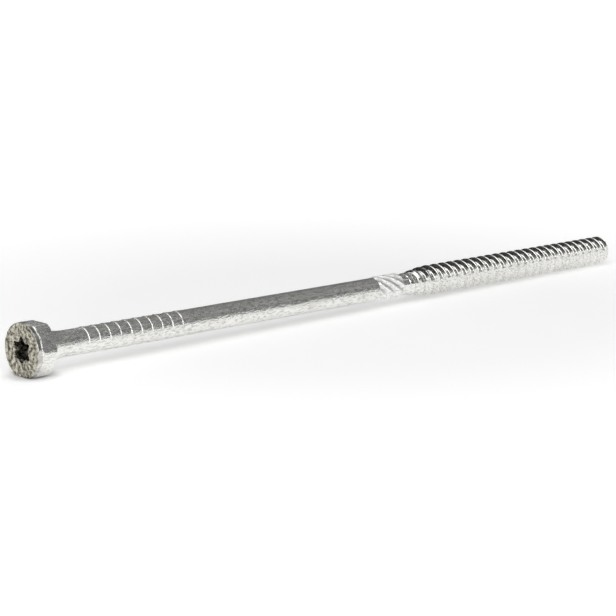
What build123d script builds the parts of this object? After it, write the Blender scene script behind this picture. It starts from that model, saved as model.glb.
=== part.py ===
from build123d import *
import os
from math import atan, ceil, cos, floor, radians, sin, tan

# A construction screw with a hexagon head and a six-lobed drive recess, cold formed and
# thread rolled in one piece. It is built along its own axis, with z = 0 on the bearing
# face under the head and +Z towards the tip, and then laid down as it comes to rest.
# All sizes are in millimetres, and angles in degrees.

# Head
head_sides = 6
across_flats = 15.0
head_height = 6.9
corner_rounding = 2.0
face_diameter = 14.7
collar_diameter = 14.9
collar_height = 1.8
shoulder_angle = 50.0
bearing_diameter = 16.2
back_angle = 45.0

# Lobed drive recess in the end of the head
lobe_count = 6
lobe_diameter = 7.93
waist_diameter = 5.64
lobe_rounding = 0.62
recess_depth = 4.5
recess_floor_angle = 30.0

# Neck and plain shank
screw_length = 250.0
shank_diameter = 7.7
neck_diameter = 10.2
neck_length = 9.0

# Reamer between the shank and the thread
reamer_gap = 2.5
reamer_length = 13.0
reamer_diameter = 8.5
reamer_core_diameter = 7.0
flute_count = 8
reamer_lead = 32.0
reamer_bevel_angle = 45.0

# Coarse right-hand thread
thread_diameter = 10.0
root_diameter = 7.0
thread_length = 100.0
thread_pitch = 4.1
head_side_flank = 25.0
tip_side_flank = 30.0
run_in_angle = 25.0
sweep_turns = 4

# Blunt tip
tip_diameter = 4.6
tip_angle = 52.0

# How far a ridge is sunk into its core, and how far trimming shapes stand clear
ridge_sink = 0.05
trim_clearance = 1.0

# Radii, and stations along the axis, that follow from the sizes above
flat_distance = across_flats / 2
corner_distance = flat_distance / cos(radians(180 / head_sides))
face_radius = face_diameter / 2
collar_radius = collar_diameter / 2
bearing_radius = bearing_diameter / 2
shank_radius = shank_diameter / 2
neck_radius = neck_diameter / 2
reamer_radius = reamer_diameter / 2
reamer_core_radius = reamer_core_diameter / 2
thread_radius = thread_diameter / 2
root_radius = root_diameter / 2
tip_radius = tip_diameter / 2
thread_start = screw_length - thread_length
reamer_end = thread_start - reamer_gap
reamer_start = reamer_end - reamer_length
back_bevel = max(0, flat_distance - bearing_radius) * tan(radians(back_angle))
tip_bevel = (thread_radius - tip_radius) * tan(radians(tip_angle))


def revolved(points):
    """Solid of revolution about Z through (radius, height) points, closed along the axis."""
    outline = Polyline([(radius, 0, height) for radius, height in points], close=True)
    return revolve(make_face(outline), Axis.Z)


def head():
    """Hexagon with rounded corners, a round collar in front and a bevelled back edge."""
    hexagon = RegularPolygon(
        flat_distance, head_sides, major_radius=False, rotation=180 / head_sides
    )
    hexagon = fillet(hexagon.vertices(), corner_rounding)
    prism = Pos(0, 0, -head_height) * extrude(hexagon, head_height)
    collar_foot = collar_height - head_height
    shoulder_depth = (corner_distance - collar_radius) * tan(radians(shoulder_angle))
    back_depth = (corner_distance - bearing_radius) * tan(radians(back_angle))
    envelope = revolved([
        (0, -head_height),
        (face_radius, -head_height),
        (collar_radius, collar_foot),
        (corner_distance, collar_foot + shoulder_depth),
        (corner_distance, -back_depth),
        (bearing_radius, 0),
        (0, 0),
    ])
    return prism & envelope


def lobed_section():
    """Outer and inner arcs in turn, each tangent to the next, with one lobe on X."""
    half_step = 180 / lobe_count
    waist_radius = waist_diameter / 2
    lobe_centre = lobe_diameter / 2 - lobe_rounding
    along = lobe_centre * cos(radians(half_step))
    waist_rounding = (
        (lobe_centre**2 + waist_radius**2 - 2 * waist_radius * along - lobe_rounding**2)
        / (2 * (lobe_rounding - waist_radius + along))
    )
    share = lobe_rounding / (lobe_rounding + waist_rounding)
    lobe = Vector(lobe_centre, 0)
    next_lobe = lobe.rotate(Axis.Z, 2 * half_step)
    waist_after = Vector(waist_radius + waist_rounding, 0).rotate(Axis.Z, half_step)
    waist_before = waist_after.rotate(Axis.Z, -2 * half_step)
    start = lobe + (waist_before - lobe) * share
    end = lobe + (waist_after - lobe) * share
    next_start = next_lobe + (waist_after - next_lobe) * share
    lobe_top = Vector(lobe_diameter / 2, 0)
    waist_top = Vector(waist_radius, 0).rotate(Axis.Z, half_step)
    pair = [ThreePointArc(start, lobe_top, end), ThreePointArc(end, waist_top, next_start)]
    turns = [Rotation(0, 0, 2 * half_step * step) for step in range(lobe_count)]
    return make_face([turn * arc for turn in turns for arc in pair])


def drive_recess():
    """Lobed socket with a conical floor."""
    waist_radius = waist_diameter / 2
    floor_depth = recess_depth + waist_radius * tan(radians(recess_floor_angle))
    socket = Pos(0, 0, -head_height) * extrude(lobed_section(), recess_depth)
    floor_cone = revolved([
        (0, recess_depth - head_height),
        (waist_radius, recess_depth - head_height),
        (0, floor_depth - head_height),
    ])
    return socket + floor_cone


def stem():
    """Neck, shank, reamer core and thread core, turned as one profile."""
    neck = TangentArc(
        [(shank_radius, 0, neck_length), (neck_radius, 0, 0)], tangent=(0, 0, -1)
    )
    inner_radius = reamer_core_radius - ridge_sink
    untrimmed_end = screw_length + trim_clearance
    points = [
        (shank_radius, neck_length),
        (shank_radius, reamer_start),
        (inner_radius, reamer_start + shank_radius - inner_radius),
        (inner_radius, reamer_end),
        (root_radius, thread_start),
        (root_radius, untrimmed_end),
        (0, untrimmed_end),
        (0, 0),
        (neck_radius, 0),
    ]
    side = Polyline([(radius, 0, height) for radius, height in points])
    return revolve(make_face([neck, side]), Axis.Z)


def reamer():
    """Star section of sharp ridges and V flutes, twisted and bevelled at both ends."""
    half_step = 180 / flute_count
    corners = []
    for ridge in range(flute_count):
        crest = Vector(reamer_radius, 0).rotate(Axis.Z, 2 * half_step * ridge)
        root = Vector(reamer_core_radius, 0).rotate(Axis.Z, 2 * half_step * ridge + half_step)
        corners += [crest, root]
    section = make_face(Polyline(*corners, close=True)).face()
    turn = 360 * reamer_length / reamer_lead
    twisted = Solid.extrude_linear_with_rotation(
        section, (0, 0, 0), (0, 0, reamer_length), turn
    )
    outer_radius = reamer_radius + trim_clearance
    bevel = (outer_radius - reamer_core_radius) * tan(radians(reamer_bevel_angle))
    envelope = revolved([
        (0, 0),
        (reamer_core_radius, 0),
        (outer_radius, bevel),
        (outer_radius, reamer_length - bevel),
        (reamer_core_radius, reamer_length),
        (0, reamer_length),
    ])
    return Pos(0, 0, reamer_start) * (Part() + twisted & envelope)


def thread():
    """Sharp helical ridge with unequal flanks and a conical run-in."""
    height = thread_radius - root_radius
    full_height = height + ridge_sink
    stretch_count = ceil(thread_length / (sweep_turns * thread_pitch))
    stretch = thread_length / stretch_count
    stretches = [
        Pos(0, 0, thread_start + step * stretch)
        * Rotation(0, 0, 360 * step * stretch / thread_pitch)
        * Helix(thread_pitch, stretch, root_radius)
        for step in range(stretch_count)
    ]
    helix = Wire(stretches)
    ridge_profile = Polyline(
        (-ridge_sink, -full_height * tan(radians(head_side_flank))),
        (height, 0),
        (-ridge_sink, full_height * tan(radians(tip_side_flank))),
        close=True,
    )
    start = Plane(origin=helix @ 0, x_dir=(1, 0, 0), z_dir=-(helix % 0))
    ridge = sweep(start * make_face(ridge_profile), path=helix, is_frenet=True)
    outer_radius = thread_radius + trim_clearance
    run_in = (outer_radius - root_radius) / tan(radians(run_in_angle))
    envelope = revolved([
        (0, thread_start - thread_pitch),
        (root_radius, thread_start),
        (outer_radius, thread_start + run_in),
        (outer_radius, screw_length + thread_pitch),
        (0, screw_length + thread_pitch),
    ])
    return ridge & envelope


def tip_cutter():
    """Everything beyond the blunt end and outside its bevel."""
    outer_radius = thread_radius + trim_clearance
    return revolved([
        (0, screw_length),
        (tip_radius, screw_length),
        (outer_radius, screw_length - (outer_radius - tip_radius) * tan(radians(tip_angle))),
        (outer_radius, screw_length + 2 * thread_pitch),
        (0, screw_length + 2 * thread_pitch),
    ])


def resting(screw):
    """Lays the screw along +X on one flat of its head and on the last thread crest below."""
    first_low_crest = thread_start + thread_pitch / 2
    low_crests = floor((screw_length - tip_bevel - first_low_crest) / thread_pitch)
    last_low_crest = first_low_crest + low_crests * thread_pitch
    droop = atan((flat_distance - thread_radius) / (last_low_crest + back_bevel))
    lying = Plane(
        origin=(0, 0, 0),
        x_dir=(sin(droop), 0, cos(droop)),
        z_dir=(cos(droop), 0, -sin(droop)),
    )
    laid = lying * screw
    box = laid.bounding_box()
    return Pos(-box.center().X, -box.center().Y, -box.min.Z) * laid


screw = head() - drive_recess() + stem() + reamer() + thread() - tip_cutter()
os.makedirs("parts", exist_ok=True)
export_step(resting(screw), "parts/construction_screw.step")
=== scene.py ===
import bmesh
import bpy
from math import atan2, cos, hypot, pi, radians, sin, sqrt, tan
from mathutils import Matrix, Vector


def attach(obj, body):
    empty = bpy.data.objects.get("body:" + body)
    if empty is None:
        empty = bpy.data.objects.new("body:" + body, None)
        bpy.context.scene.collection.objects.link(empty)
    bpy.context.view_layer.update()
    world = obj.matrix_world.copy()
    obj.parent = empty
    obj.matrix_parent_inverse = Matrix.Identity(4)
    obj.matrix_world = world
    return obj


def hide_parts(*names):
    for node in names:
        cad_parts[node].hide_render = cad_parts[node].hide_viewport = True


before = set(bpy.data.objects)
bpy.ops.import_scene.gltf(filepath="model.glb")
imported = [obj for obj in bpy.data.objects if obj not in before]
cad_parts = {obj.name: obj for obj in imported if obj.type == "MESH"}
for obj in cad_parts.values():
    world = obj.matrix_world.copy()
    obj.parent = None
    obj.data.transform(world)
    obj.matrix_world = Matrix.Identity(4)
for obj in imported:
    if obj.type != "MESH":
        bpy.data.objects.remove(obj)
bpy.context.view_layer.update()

# every form below is drawn in millimetres along a straight axis: x = 0 under the head,
# +x to the tip, +z up; layDown() turns it into metres and puts it where the solid lies
mm = 0.001
rest = {"underHead": (-0.1215181, 0.0, 0.0074996), "droop": 0.58143}
sides = 144       # points round the screw, a multiple of 6 and of 8
sharpOver = 38    # edges folded by more degrees than this stay sharp
finishesAndShades = ("platedSteel", "headFace", "driveSocketShade", "shadedCollar", "sheenReamer")

head = {
    "acrossFlats": 14.9, "height": 6.5, "cornerRounding": 2.0, "faceRadius": 7.95,
    "collarRadius": 8.0, "collarHeight": 1.35, "shoulderAngle": 50.0,
    "bearingRadius": 8.1, "rimRounding": 0.12, "edgeRounding": 0.22,
}
socket = {
    "lobeRadius": 3.965, "waistRadius": 2.82, "lobeRounding": 0.62,
    "depth": 4.5, "floorAngle": 30.0, "mouthRounding": 0.18,
}
shank = {
    "radius": 3.85, "neckRadius": 5.1, "neckLength": 9.0, "neckRows": 10,
    "plainRows": (75.0, 95.0, 115.0),
}
rings = {
    "count": 10, "first": 14.4, "spacing": 3.86, "height": 0.12,
    "step": 0.3, "crest": 0.1, "back": 2.6, "fade": 0.15,
}
reamer = {
    "start": 131.8, "length": 11.6, "radius": 4.25, "coreRadius": 3.5,
    "flutes": 8, "lead": 32.0, "rows": 44, "crestRounding": 0.12, "gap": 0.15,
}
# turns meet beside mid-root, by seam towards the tip
thread = {
    "start": 145.0, "end": 250.0, "pitch": 3.85, "firstCrest": 146.4,
    "radius": 5.0, "rootRadius": 3.5, "headFlank": 25.0, "tipFlank": 30.0,
    "runIn": 8.0, "crest": 0.42, "fillet": 0.2, "seam": 0.1, "spareTurns": 5,
    "tipRadius": 2.3, "tipAngle": 52.0, "plainRoot": 1.2,
}


def layDown(mesh):
    turn = Matrix.Rotation(radians(rest["droop"]), 4, "Y")
    mesh.transform(Matrix.Translation(rest["underHead"]) @ turn @ Matrix.Scale(mm, 4))


def hexRadius(angle):
    # distance from the axis to the rounded hexagon, with a flat at angle 0
    flat = head["acrossFlats"] / 2
    rounding = head["cornerRounding"]
    step = pi / 3
    off = abs((angle + step / 2) % step - step / 2)
    if (flat - rounding) * tan(step / 2) > flat * tan(off):
        return flat / cos(off)
    centre = (flat - rounding) / cos(step / 2)
    away = step / 2 - off
    return centre * cos(away) + sqrt(rounding**2 - (centre * sin(away))**2)


def lobeOutline():
    # centres and radii of the outer and inner arcs, and the angle where they touch
    lobe = socket["lobeRadius"] - socket["lobeRounding"]
    along = lobe * cos(pi / 6)
    small, waist = socket["lobeRounding"], socket["waistRadius"]
    big = (lobe**2 + waist**2 - 2 * waist * along - small**2) / (2 * (small - waist + along))
    far = waist + big
    lobeAt = Vector((lobe, 0))
    waistAt = Vector((far * cos(pi / 6), far * sin(pi / 6)))
    touch = lobeAt + (waistAt - lobeAt) * small / (small + big)
    return lobe, far, big, atan2(touch.y, touch.x)


lobeCentre, waistCentre, waistRounding, touchAngle = lobeOutline()


def lobeRadius(angle):
    # distance from the axis to the six-lobed outline, with a lobe at angle 0
    step = pi / 3
    off = abs((angle + step / 2) % step - step / 2)
    if off < touchAngle:
        return lobeCentre * cos(off) + sqrt(socket["lobeRounding"]**2 - (lobeCentre * sin(off))**2)
    away = step / 2 - off
    return waistCentre * cos(away) - sqrt(waistRounding**2 - (waistCentre * sin(away))**2)


def reamerRadius(angle):
    # straight-sided star with slightly rounded ridges
    step = 2 * pi / reamer["flutes"]
    off = abs((angle + step / 2) % step - step / 2)
    high, low = reamer["radius"], reamer["coreRadius"]
    side = Vector((low * cos(step / 2) - high, low * sin(step / 2)))
    radius = high * side.y / (side.y * cos(off) - side.x * sin(off))
    return min(radius, high - reamer["crestRounding"] * (1 - off / step))


def ringOutline():
    # (along, share of the height): a step that faces the head, a narrow crest
    # and a long slope back to the shank
    step, crest, back = rings["step"] / 2, rings["crest"], rings["back"]
    return [
        (-step * 1.3, 0), (-step, 0.02), (-step * 0.8, 0.1), (step * 0.8, 0.9), (step, 0.98),
        (step + crest, 1), (step + crest * 2, 0.96), (back, 0.03), (back + rings["fade"], 0),
    ]


def bodyRows():
    # (x, radius, form) from the bottom of the socket to the foot of the thread
    face = -head["height"]
    floorAt = face + socket["depth"]
    soft = socket["mouthRounding"]
    rows = [
        (floorAt + socket["waistRadius"] * tan(radians(socket["floorAngle"])), 0.0, "round"),
        (floorAt, socket["waistRadius"], "round"),
        (floorAt, 0.0, "lobe"),
        (face + soft, 0.0, "lobe"),
        (face + soft * 0.3, soft * 0.3, "lobe"),
        (face, soft, "lobe"),
    ]
    inner, outer = socket["lobeRadius"] + 0.35, head["faceRadius"]
    soft = head["rimRounding"]
    rows += [(face, inner + (outer - soft * 1.5 - inner) * k / 4, "round") for k in range(5)]
    rows += [(face, outer - soft, "round")]
    rows += [(face + soft * 0.3, outer - soft * 0.25, "round")]
    rows += [(face + soft * k, outer + soft * 0.05 * k, "round") for k in (1, 1.5)]
    soft = head["edgeRounding"]
    foot = face + head["collarHeight"]
    collar = head["collarRadius"]
    rows += [(foot - soft * k, collar - soft * 0.05 * k, "round") for k in (1.0, 0.5)]
    rows += [(foot + soft * 0.1, collar + soft * 0.25, "round")]
    rows += [(0.0, k, "shoulder") for k in (0.7, 0.3)]
    rows += [(0.0, -soft, "shoulder"), (soft * 0.35, -soft * 0.18, "shoulder")]
    rows += [(soft * k, 0.0, "shoulder") for k in (1, 1.6)]
    rows += [(0.0, 0.0, "side")]
    rows += [(soft * k, 0.0, "back") for k in (1.6, 1)]
    rows += [(soft * 0.35, -soft * 0.18, "back"), (0.0, -soft, "back"), (0.0, -soft * 1.6, "back")]
    rows += [(0.0, shank["neckRadius"] + k, "round") for k in (1.0, 0.2, 0.1)]
    # neck: an arc that meets the shank along it
    rise, run = shank["neckRadius"] - shank["radius"], shank["neckLength"]
    big = (rise**2 + run**2) / (2 * rise)
    for k in range(shank["neckRows"] + 1):
        x = run * k / shank["neckRows"]
        rows.append((x, shank["radius"] + big - sqrt(big**2 - (run - x)**2), "round"))
    for k in range(rings["count"]):
        x = rings["first"] + k * rings["spacing"]
        rows += [(x + a, shank["radius"] + b * rings["height"], "round") for a, b in ringOutline()]
    plain = (*shank["plainRows"], reamer["start"] - reamer["gap"])
    rows += [(x, shank["radius"], "round") for x in plain]
    for k in range(reamer["rows"] + 1):
        rows.append((reamer["start"] + reamer["length"] * k / reamer["rows"], 0.0, "reamer"))
    rows.append((thread["start"] - thread["plainRoot"], thread["rootRadius"], "round"))
    rows.append((thread["start"], thread["rootRadius"], "round"))
    return rows


def placeBody(form, x, radius, angle):
    # the true place of a point of the body: (x, radius, twist)
    twistEnd = 2 * pi * reamer["length"] / reamer["lead"]
    if form == "lobe":
        return x, lobeRadius(angle) + radius, 0.0
    if form in ("shoulder", "side", "back"):
        out = hexRadius(angle)
        low = head["collarRadius"]
        foot = head["collarHeight"] - head["height"]
        slope = tan(radians(head["shoulderAngle"]))
        front = foot + abs(out - low) * slope
        rear = -max(0.0, out - head["bearingRadius"])
        if form == "side":
            return (front + rear) / 2, out, 0.0
        if form == "back":
            return rear - x, out + radius, 0.0
        if radius > 0:
            up = 1 - radius
            return foot + (front - foot) * up, low + (out - low) * up, 0.0
        return front + x, out + radius, 0.0
    if form == "reamer":
        into = x - reamer["start"]
        twist = 2 * pi * into / reamer["lead"]
        rising = reamer["coreRadius"] + into
        falling = reamer["coreRadius"] + reamer["length"] - into
        ridge = min(reamerRadius(angle), rising, falling)
        return x, max(ridge, shank["radius"] - into), twist
    pastReamer = x > reamer["start"] + reamer["length"]
    return x, radius, twistEnd if pastReamer else 0.0


def body():
    shape = bmesh.new()
    rowLayer = shape.verts.layers.int.new("row")
    rows = bodyRows()
    line = []
    for index, (x, radius, form) in enumerate(rows):
        # a nominal outline for the spin; its points keep their row number
        nominal = 0.0 if index == 0 else 1.0 + 0.01 * index
        point = shape.verts.new((index * 0.1, 0, nominal))
        point[rowLayer] = index
        line.append(point)
    for a, b in zip(line, line[1:]):
        shape.edges.new((a, b))
    bmesh.ops.spin(
        shape, geom=shape.verts[:] + shape.edges[:], cent=(0, 0, 0), axis=(1, 0, 0),
        dvec=(0, 0, 0), angle=2 * pi, steps=sides, use_merge=True, use_duplicate=False,
    )
    bmesh.ops.remove_doubles(shape, verts=shape.verts[:], dist=0.0001)
    faceRow = rows.index((-head["height"], socket["mouthRounding"], "lobe"))
    rimRow = faceRow + 7    # halfway round the rounded rim
    collarRow = next(k for k, row in enumerate(rows) if row[2] == "shoulder") - 1
    reamerRows = [k for k, row in enumerate(rows) if row[2] == "reamer"]
    for face in shape.faces:
        last = max(point[rowLayer] for point in face.verts)
        finishOrShade = "platedSteel"
        if last <= faceRow:
            finishOrShade = "driveSocketShade"
        elif last <= rimRow:
            finishOrShade = "headFace"
        elif last <= collarRow:
            finishOrShade = "shadedCollar"
        elif reamerRows[0] < last <= reamerRows[-1]:
            finishOrShade = "sheenReamer"
        face.material_index = finishesAndShades.index(finishOrShade)
    for point in shape.verts:
        x, radius, form = rows[point[rowLayer]]
        angle = atan2(-point.co.y, point.co.z)
        if point[rowLayer] == 0:
            point.co = (x, 0, 0)
            continue
        x, radius, twist = placeBody(form, x, radius, angle)
        point.co = (x, -radius * sin(angle + twist), radius * cos(angle + twist))
    return shape


def threadProfile():
    # one pitch, (along, radius), from mid-root to mid-root over a rounded crest
    high, low = thread["radius"], thread["rootRadius"]
    soft, crest, middle = thread["fillet"], thread["crest"], thread["pitch"] / 2
    ends = {"headFlank": middle - thread["seam"], "tipFlank": middle + thread["seam"]}
    halves = []
    for side, end in ends.items():
        leans = [radians(lean) for lean in (15, 32, 48, 90 - thread[side])]
        half = [(crest * sin(lean), high - crest * (1 - cos(lean))) for lean in leans]
        edge, shoulder = half[-1]
        foot = edge + (shoulder - low) * tan(radians(thread[side]))
        for share in (0.1, 0.85):
            half.append((edge + (foot - edge) * share, shoulder - (shoulder - low) * share))
        half += [(foot + soft * 0.2, low + soft * 0.22), (foot + soft, low), (end, low)]
        halves.append(half)
    headSide = [(-along, radius) for along, radius in reversed(halves[0])]
    return headSide + [(0.0, high)] + halves[1]


def threaded():
    # one turn of the helical surface, set down again for each turn
    turn = bmesh.new()
    line = [turn.verts.new((along, 0, radius)) for along, radius in threadProfile()]
    for a, b in zip(line, line[1:]):
        turn.edges.new((a, b))
    bmesh.ops.spin(
        turn, geom=turn.verts[:] + turn.edges[:], cent=(0, 0, 0), axis=(1, 0, 0),
        dvec=(thread["pitch"] / sides, 0, 0), angle=2 * pi, steps=sides,
        use_merge=False, use_duplicate=False,
    )
    carrier = bpy.data.meshes.new("turn")
    turn.to_mesh(carrier)
    turn.free()
    shape = bmesh.new()
    turns = int((thread["end"] - thread["start"]) / thread["pitch"]) + thread["spareTurns"]
    carrier.transform(Matrix.Translation((thread["firstCrest"] - 3 * thread["pitch"], 0, 0)))
    for _ in range(turns):
        shape.from_mesh(carrier)
        carrier.transform(Matrix.Translation((thread["pitch"], 0, 0)))
    bpy.data.meshes.remove(carrier)
    bmesh.ops.remove_doubles(shape, verts=shape.verts[:], dist=0.002)
    for point in shape.verts:
        x, radius = point.co.x, hypot(point.co.y, point.co.z)
        into, left = max(0.0, x - thread["start"]), max(0.0, thread["end"] - x)
        runIn = thread["rootRadius"] + into * tan(radians(thread["runIn"]))
        bevel = thread["tipRadius"] + left / tan(radians(thread["tipAngle"]))
        share = min(radius, runIn, bevel) / radius
        point.co.y *= share
        point.co.z *= share
    for x, out in ((thread["start"] + 0.01, -1), (thread["end"], 1)):
        bmesh.ops.bisect_plane(
            shape, geom=shape.verts[:] + shape.edges[:] + shape.faces[:], dist=0.0001,
            plane_co=(x, 0, 0), plane_no=(out, 0, 0), clear_outer=True, clear_inner=False,
        )
    return shape


def flatEnd(shape, x):
    # the open edges that lie in the plane at x
    near = [e for e in shape.edges if all(abs(v.co.x - x) < 0.05 for v in e.verts)]
    return [e for e in near if e.is_boundary]


def joined(first, second):
    carrier = bpy.data.meshes.new("carrier")
    second.to_mesh(carrier)
    first.from_mesh(carrier)
    bpy.data.meshes.remove(carrier)
    second.free()
    return first


print("screw")
screw = joined(body(), threaded())
bmesh.ops.bridge_loops(screw, edges=flatEnd(screw, thread["start"]))
bmesh.ops.holes_fill(screw, edges=flatEnd(screw, thread["end"]), sides=0)
bmesh.ops.remove_doubles(screw, verts=screw.verts[:], dist=0.0005)
bmesh.ops.recalc_face_normals(screw, faces=screw.faces[:])
print("open edges", sum(1 for e in screw.edges if not e.is_manifold), "faces", len(screw.faces))
for face in screw.faces:
    face.smooth = True
for edge in screw.edges:
    if edge.is_manifold and edge.calc_face_angle(0) > radians(sharpOver):
        edge.smooth = False
screwMesh = bpy.data.meshes.new("construction_screw_plated")
screw.to_mesh(screwMesh)
screw.free()
layDown(screwMesh)
screwObj = bpy.data.objects.new("construction_screw_plated", screwMesh)
bpy.context.scene.collection.objects.link(screwObj)
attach(screwObj, "root")
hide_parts("construction_screw")


def material(name):
    made = bpy.data.materials.new(name)
    made.use_nodes = True
    return made, made.node_tree


def spanned(tree, value, span, to=(0.0, 1.0), smooth=False):
    # takes a value over from one range to another, and holds it at the ends
    made = tree.nodes.new("ShaderNodeMapRange")
    made.interpolation_type = "SMOOTHSTEP" if smooth else "LINEAR"
    for name, number in zip(("From Min", "From Max", "To Min", "To Max"), (*span, *to)):
        made.inputs[name].default_value = number
    tree.links.new(value, made.inputs["Value"])
    return made.outputs["Result"]


def combined(tree, operation, *values):
    made = tree.nodes.new("ShaderNodeMath")
    made.operation = operation
    for place, value in zip(made.inputs, values):
        tree.links.new(value, place)
    return made.outputs["Value"]


print("finishesAndShades")
# patch and grain: how far drawn out along the screw, scale, detail
plating = {
    "pale": (0.91, 0.905, 0.885, 1), "dark": (0.84, 0.835, 0.795, 1),
    "from": 0.36, "to": 0.6, "rough": 0.15, "worn": 0.68,
    "patch": (3.0, 420.0, 4.0), "grain": (3.0, 1800.0, 3.0),
}
# the rolled thread is smoother than the drawn shank
shankLook = {"relief": 0.55, "threadRelief": 0.022}
# collar: steel toned darker than the plating, painted shade for the dark band round the head; its
# low relief is the steel's own
collarShadeLook = {
    "pale": (0.72, 0.71, 0.68, 1), "dark": (0.5, 0.49, 0.45, 1), "relief": 0.2,
}
# reamer: steel toned near white, painted sheen for its bright reflections; its rougher skin is the
# steel's own
reamerSheenLook = {
    "pale": (0.97, 0.97, 0.96, 1), "dark": (0.94, 0.94, 0.92, 1), "rough": 0.42,
    "relief": 0.15, "threadRelief": 0.006,
}
endFace = {
    "pale": (0.7, 0.67, 0.56, 1), "dark": (0.1, 0.09, 0.065, 1),
    "from": 0.4, "to": 0.58, "rough": 0.34, "worn": 0.5, "relief": 0.35,
    "patch": (1.0, 900.0, 5.0), "grain": (1.0, 1900.0, 3.0),
}
# drive socket: a near-black tone, painted shade of the recess, with pale patches as painted glints
socketShadeLook = {
    "pale": (0.9, 0.86, 0.76, 1), "dark": (0.03, 0.03, 0.025, 1),
    "from": 0.46, "to": 0.6, "rough": 0.35, "worn": 0.5, "relief": 0.5,
    "patch": (1.0, 1000.0, 4.0), "grain": (1.0, 1500.0, 3.0),
}
# for every look: the noise's roughness, the part of the grain that darkens the metal,
# the part that dulls it and by how much, and the depth of the pits in metres
skinLook = {
    "noise": 0.62, "wornSpan": (0.36, 0.52), "dullSpan": (0.35, 0.65),
    "dullest": 1.4, "brightest": 0.8, "pitDepth": 0.0003,
}


def speckle(tree, stretch, scale, detail):
    # fine noise, drawn out along the screw when stretch is over 1
    where = tree.nodes.new("ShaderNodeTexCoord")
    draw = tree.nodes.new("ShaderNodeMapping")
    draw.inputs["Scale"].default_value = (1 / stretch, 1, 1)
    noise = tree.nodes.new("ShaderNodeTexNoise")
    noise.inputs["Scale"].default_value = scale
    noise.inputs["Detail"].default_value = detail
    noise.inputs["Roughness"].default_value = skinLook["noise"]
    tree.links.new(where.outputs["Object"], draw.inputs["Vector"])
    tree.links.new(draw.outputs["Vector"], noise.inputs["Vector"])
    return noise.outputs["Fac"]


def mottled(name, look):
    # plated steel whose tone wanders in patches and whose skin is finely pitted; the socket's and
    # collar's looks paint shade into that tone, the reamer's paints sheen
    made, tree = material(name)
    steel = tree.nodes["Principled BSDF"].inputs
    steel["Metallic"].default_value = 1.0
    tone = tree.nodes.new("ShaderNodeValToRGB")
    dark, pale = tone.color_ramp.elements
    dark.position, dark.color = look["from"], look["dark"]
    pale.position, pale.color = look["to"], look["pale"]
    tree.links.new(speckle(tree, *look["patch"]), tone.inputs["Fac"])
    skin = speckle(tree, *look["grain"])
    worn = spanned(tree, skin, skinLook["wornSpan"], (look["worn"], 1.0))
    shade = tree.nodes.new("ShaderNodeVectorMath")
    shade.operation = "SCALE"
    tree.links.new(tone.outputs["Color"], shade.inputs[0])
    tree.links.new(worn, shade.inputs["Scale"])
    tree.links.new(shade.outputs["Vector"], steel["Base Color"])
    dull = [look["rough"] * skinLook[end] for end in ("dullest", "brightest")]
    tree.links.new(spanned(tree, skin, skinLook["dullSpan"], dull), steel["Roughness"])
    pits = tree.nodes.new("ShaderNodeBump")
    pits.inputs["Strength"].default_value = look["relief"]
    pits.inputs["Distance"].default_value = skinLook["pitDepth"]
    tree.links.new(skin, pits.inputs["Height"])
    tree.links.new(pits.outputs["Normal"], steel["Normal"])
    if "threadRelief" in look:
        where = tree.nodes.new("ShaderNodeTexCoord")
        along = tree.nodes.new("ShaderNodeSeparateXYZ")
        tree.links.new(where.outputs["Object"], along.inputs[0])
        span = [rest["underHead"][0] + form["start"] * mm for form in (reamer, thread)]
        relief = (look["relief"], look["threadRelief"])
        tree.links.new(spanned(tree, along.outputs["X"], span, relief), pits.inputs["Strength"])
    return made


looks = {
    "platedSteel": {**plating, **shankLook}, "headFace": endFace, "driveSocketShade": socketShadeLook,
    "shadedCollar": {**plating, **collarShadeLook}, "sheenReamer": {**plating, **reamerSheenLook},
}
for name in finishesAndShades:
    screwMesh.materials.append(mottled(name, looks[name]))

print("floor and light")
# for the camera and in the steel the table is lifted to white, more so far off; nothing is lifted
# at the foot of the head, so a painted contact shadow lies there as a dark line
floor = {
    "halfSize": 12.0, "tone": (0.8, 0.8, 0.8, 1), "middle": (0.0, 0.0, 0.0),
    "glowSpan": (0.08, 0.5), "glow": (0.34, 0.95),
    "foot": (-0.1245, 0.0, 0.0), "footShadowSpan": (0.004, 0.009),
}
floorMesh = bpy.data.meshes.new("floor")
plane = bmesh.new()
bmesh.ops.create_grid(plane, x_segments=1, y_segments=1, size=floor["halfSize"])
plane.to_mesh(floorMesh)
plane.free()
floorObj = bpy.data.objects.new("floor", floorMesh)
bpy.context.scene.collection.objects.link(floorObj)


def distanceFrom(tree, place):
    where = tree.nodes.new("ShaderNodeTexCoord")
    away = tree.nodes.new("ShaderNodeVectorMath")
    away.operation = "DISTANCE"
    away.inputs[1].default_value = place
    tree.links.new(where.outputs["Object"], away.inputs[0])
    return away.outputs["Value"]


paleTable, tree = material("paleTable")
table = tree.nodes["Principled BSDF"].inputs
table["Base Color"].default_value = floor["tone"]
table["Roughness"].default_value = 1.0
table["Specular IOR Level"].default_value = 0.0
table["Emission Color"].default_value = (1, 1, 1, 1)
lift = spanned(tree, distanceFrom(tree, floor["middle"]), floor["glowSpan"], floor["glow"])
# painted contact shadow: the lift fades out towards the foot of the head
footShadowMask = spanned(tree, distanceFrom(tree, floor["foot"]), floor["footShadowSpan"])
path = tree.nodes.new("ShaderNodeLightPath").outputs
seen = combined(tree, "MAXIMUM", path["Is Camera Ray"], path["Is Glossy Ray"])
glow = combined(tree, "MULTIPLY", combined(tree, "MULTIPLY", footShadowMask, lift), seen)
tree.links.new(glow, table["Emission Strength"])
floorMesh.materials.append(paleTable)

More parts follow.
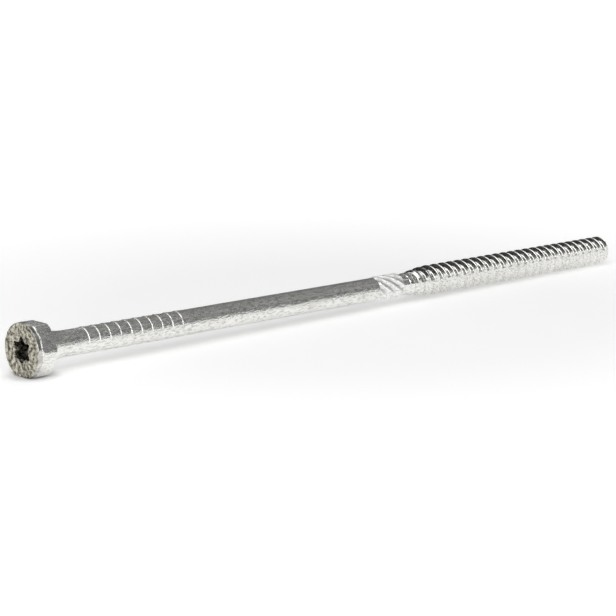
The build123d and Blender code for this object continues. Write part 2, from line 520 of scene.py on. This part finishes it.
# a dark and cluttered room, lighter to the right; on the left the pale table runs up
# into a low wall
room = {
    "fadeSpan": (-0.3, 0.6), "level": (0.035, 0.15),
    "clutterScale": 7.0, "clutterDetail": 3.0, "clutterSpan": (0.42, 0.66), "clutter": (0.1, 3.6),
    "wall": 0.85, "wallTop": 0.1, "wallSpan": (-0.45, 0.15),
}
world = bpy.data.worlds.new("studio")
world.use_nodes = True
bpy.context.scene.world = world
tree = world.node_tree
where = tree.nodes.new("ShaderNodeTexCoord").outputs["Generated"]
toward = tree.nodes.new("ShaderNodeSeparateXYZ")
tree.links.new(where, toward.inputs[0])
clutter = tree.nodes.new("ShaderNodeTexNoise")
clutter.inputs["Scale"].default_value = room["clutterScale"]
clutter.inputs["Detail"].default_value = room["clutterDetail"]
tree.links.new(where, clutter.inputs["Vector"])
fade = spanned(tree, toward.outputs["X"], room["fadeSpan"], room["level"], smooth=True)
spread = spanned(tree, clutter.outputs["Fac"], room["clutterSpan"], room["clutter"])
low = spanned(tree, toward.outputs["Z"], (0.0, room["wallTop"]), (room["wall"], 0.0), smooth=True)
leftward = spanned(tree, toward.outputs["X"], room["wallSpan"], (1.0, 0.0))
level = combined(tree, "MULTIPLY_ADD", low, leftward, combined(tree, "MULTIPLY", fade, spread))
tree.links.new(level, tree.nodes["Background"].inputs["Strength"])
tree.nodes["Background"].inputs["Color"].default_value = (1, 1, 1, 1)

# place, width and height in metres, and how bright the lamp looks, where 1 is white
softboxes = {
    "topBox": ((-0.4, -0.25, 1.3), (1.3, 1.7), 1.4),
    "keyBox": ((-0.62, -0.8, 0.74), (1.3, 0.9), 1.3),
    "frontBox": ((-0.2, -1.2, 0.42), (1.3, 0.6), 1.5),
    "backBox": ((0.45, 0.75, 1.0), (0.45, 0.6), 0.9),
    "sideBox": ((1.66, -1.0, 1.45), (0.5, 0.35), 0.45),
}
for name, (place, size, brightness) in softboxes.items():
    # a flat lamp turned to the screw
    lamp = bpy.data.lights.new(name, "AREA")
    lamp.shape = "RECTANGLE"
    lamp.size, lamp.size_y = size
    lamp.energy = brightness * pi * size[0] * size[1]
    lampObj = bpy.data.objects.new(name, lamp)
    lampObj.location = place
    lampObj.rotation_mode = "QUATERNION"
    lampObj.rotation_quaternion = Vector(place).to_track_quat("Z", "Y")
    bpy.context.scene.collection.objects.link(lampObj)

print("camera")
view = {
    "place": (-0.468936, -0.474095, 0.138676), "turn": 43.5587, "down": 11.6182,
    "lens": 124.669, "sensor": 36.0, "near": 0.01, "far": 50.0,
}
camData = bpy.data.cameras.new("camera")
camData.sensor_width = view["sensor"]
camData.lens = view["lens"]
camData.clip_start, camData.clip_end = view["near"], view["far"]
camObj = bpy.data.objects.new("camera", camData)
camObj.location = view["place"]
camObj.rotation_euler = (radians(90 - view["down"]), 0, -radians(view["turn"]))
bpy.context.scene.collection.objects.link(camObj)
bpy.context.scene.camera = camObj
bpy.context.scene.view_settings.view_transform = "Standard"
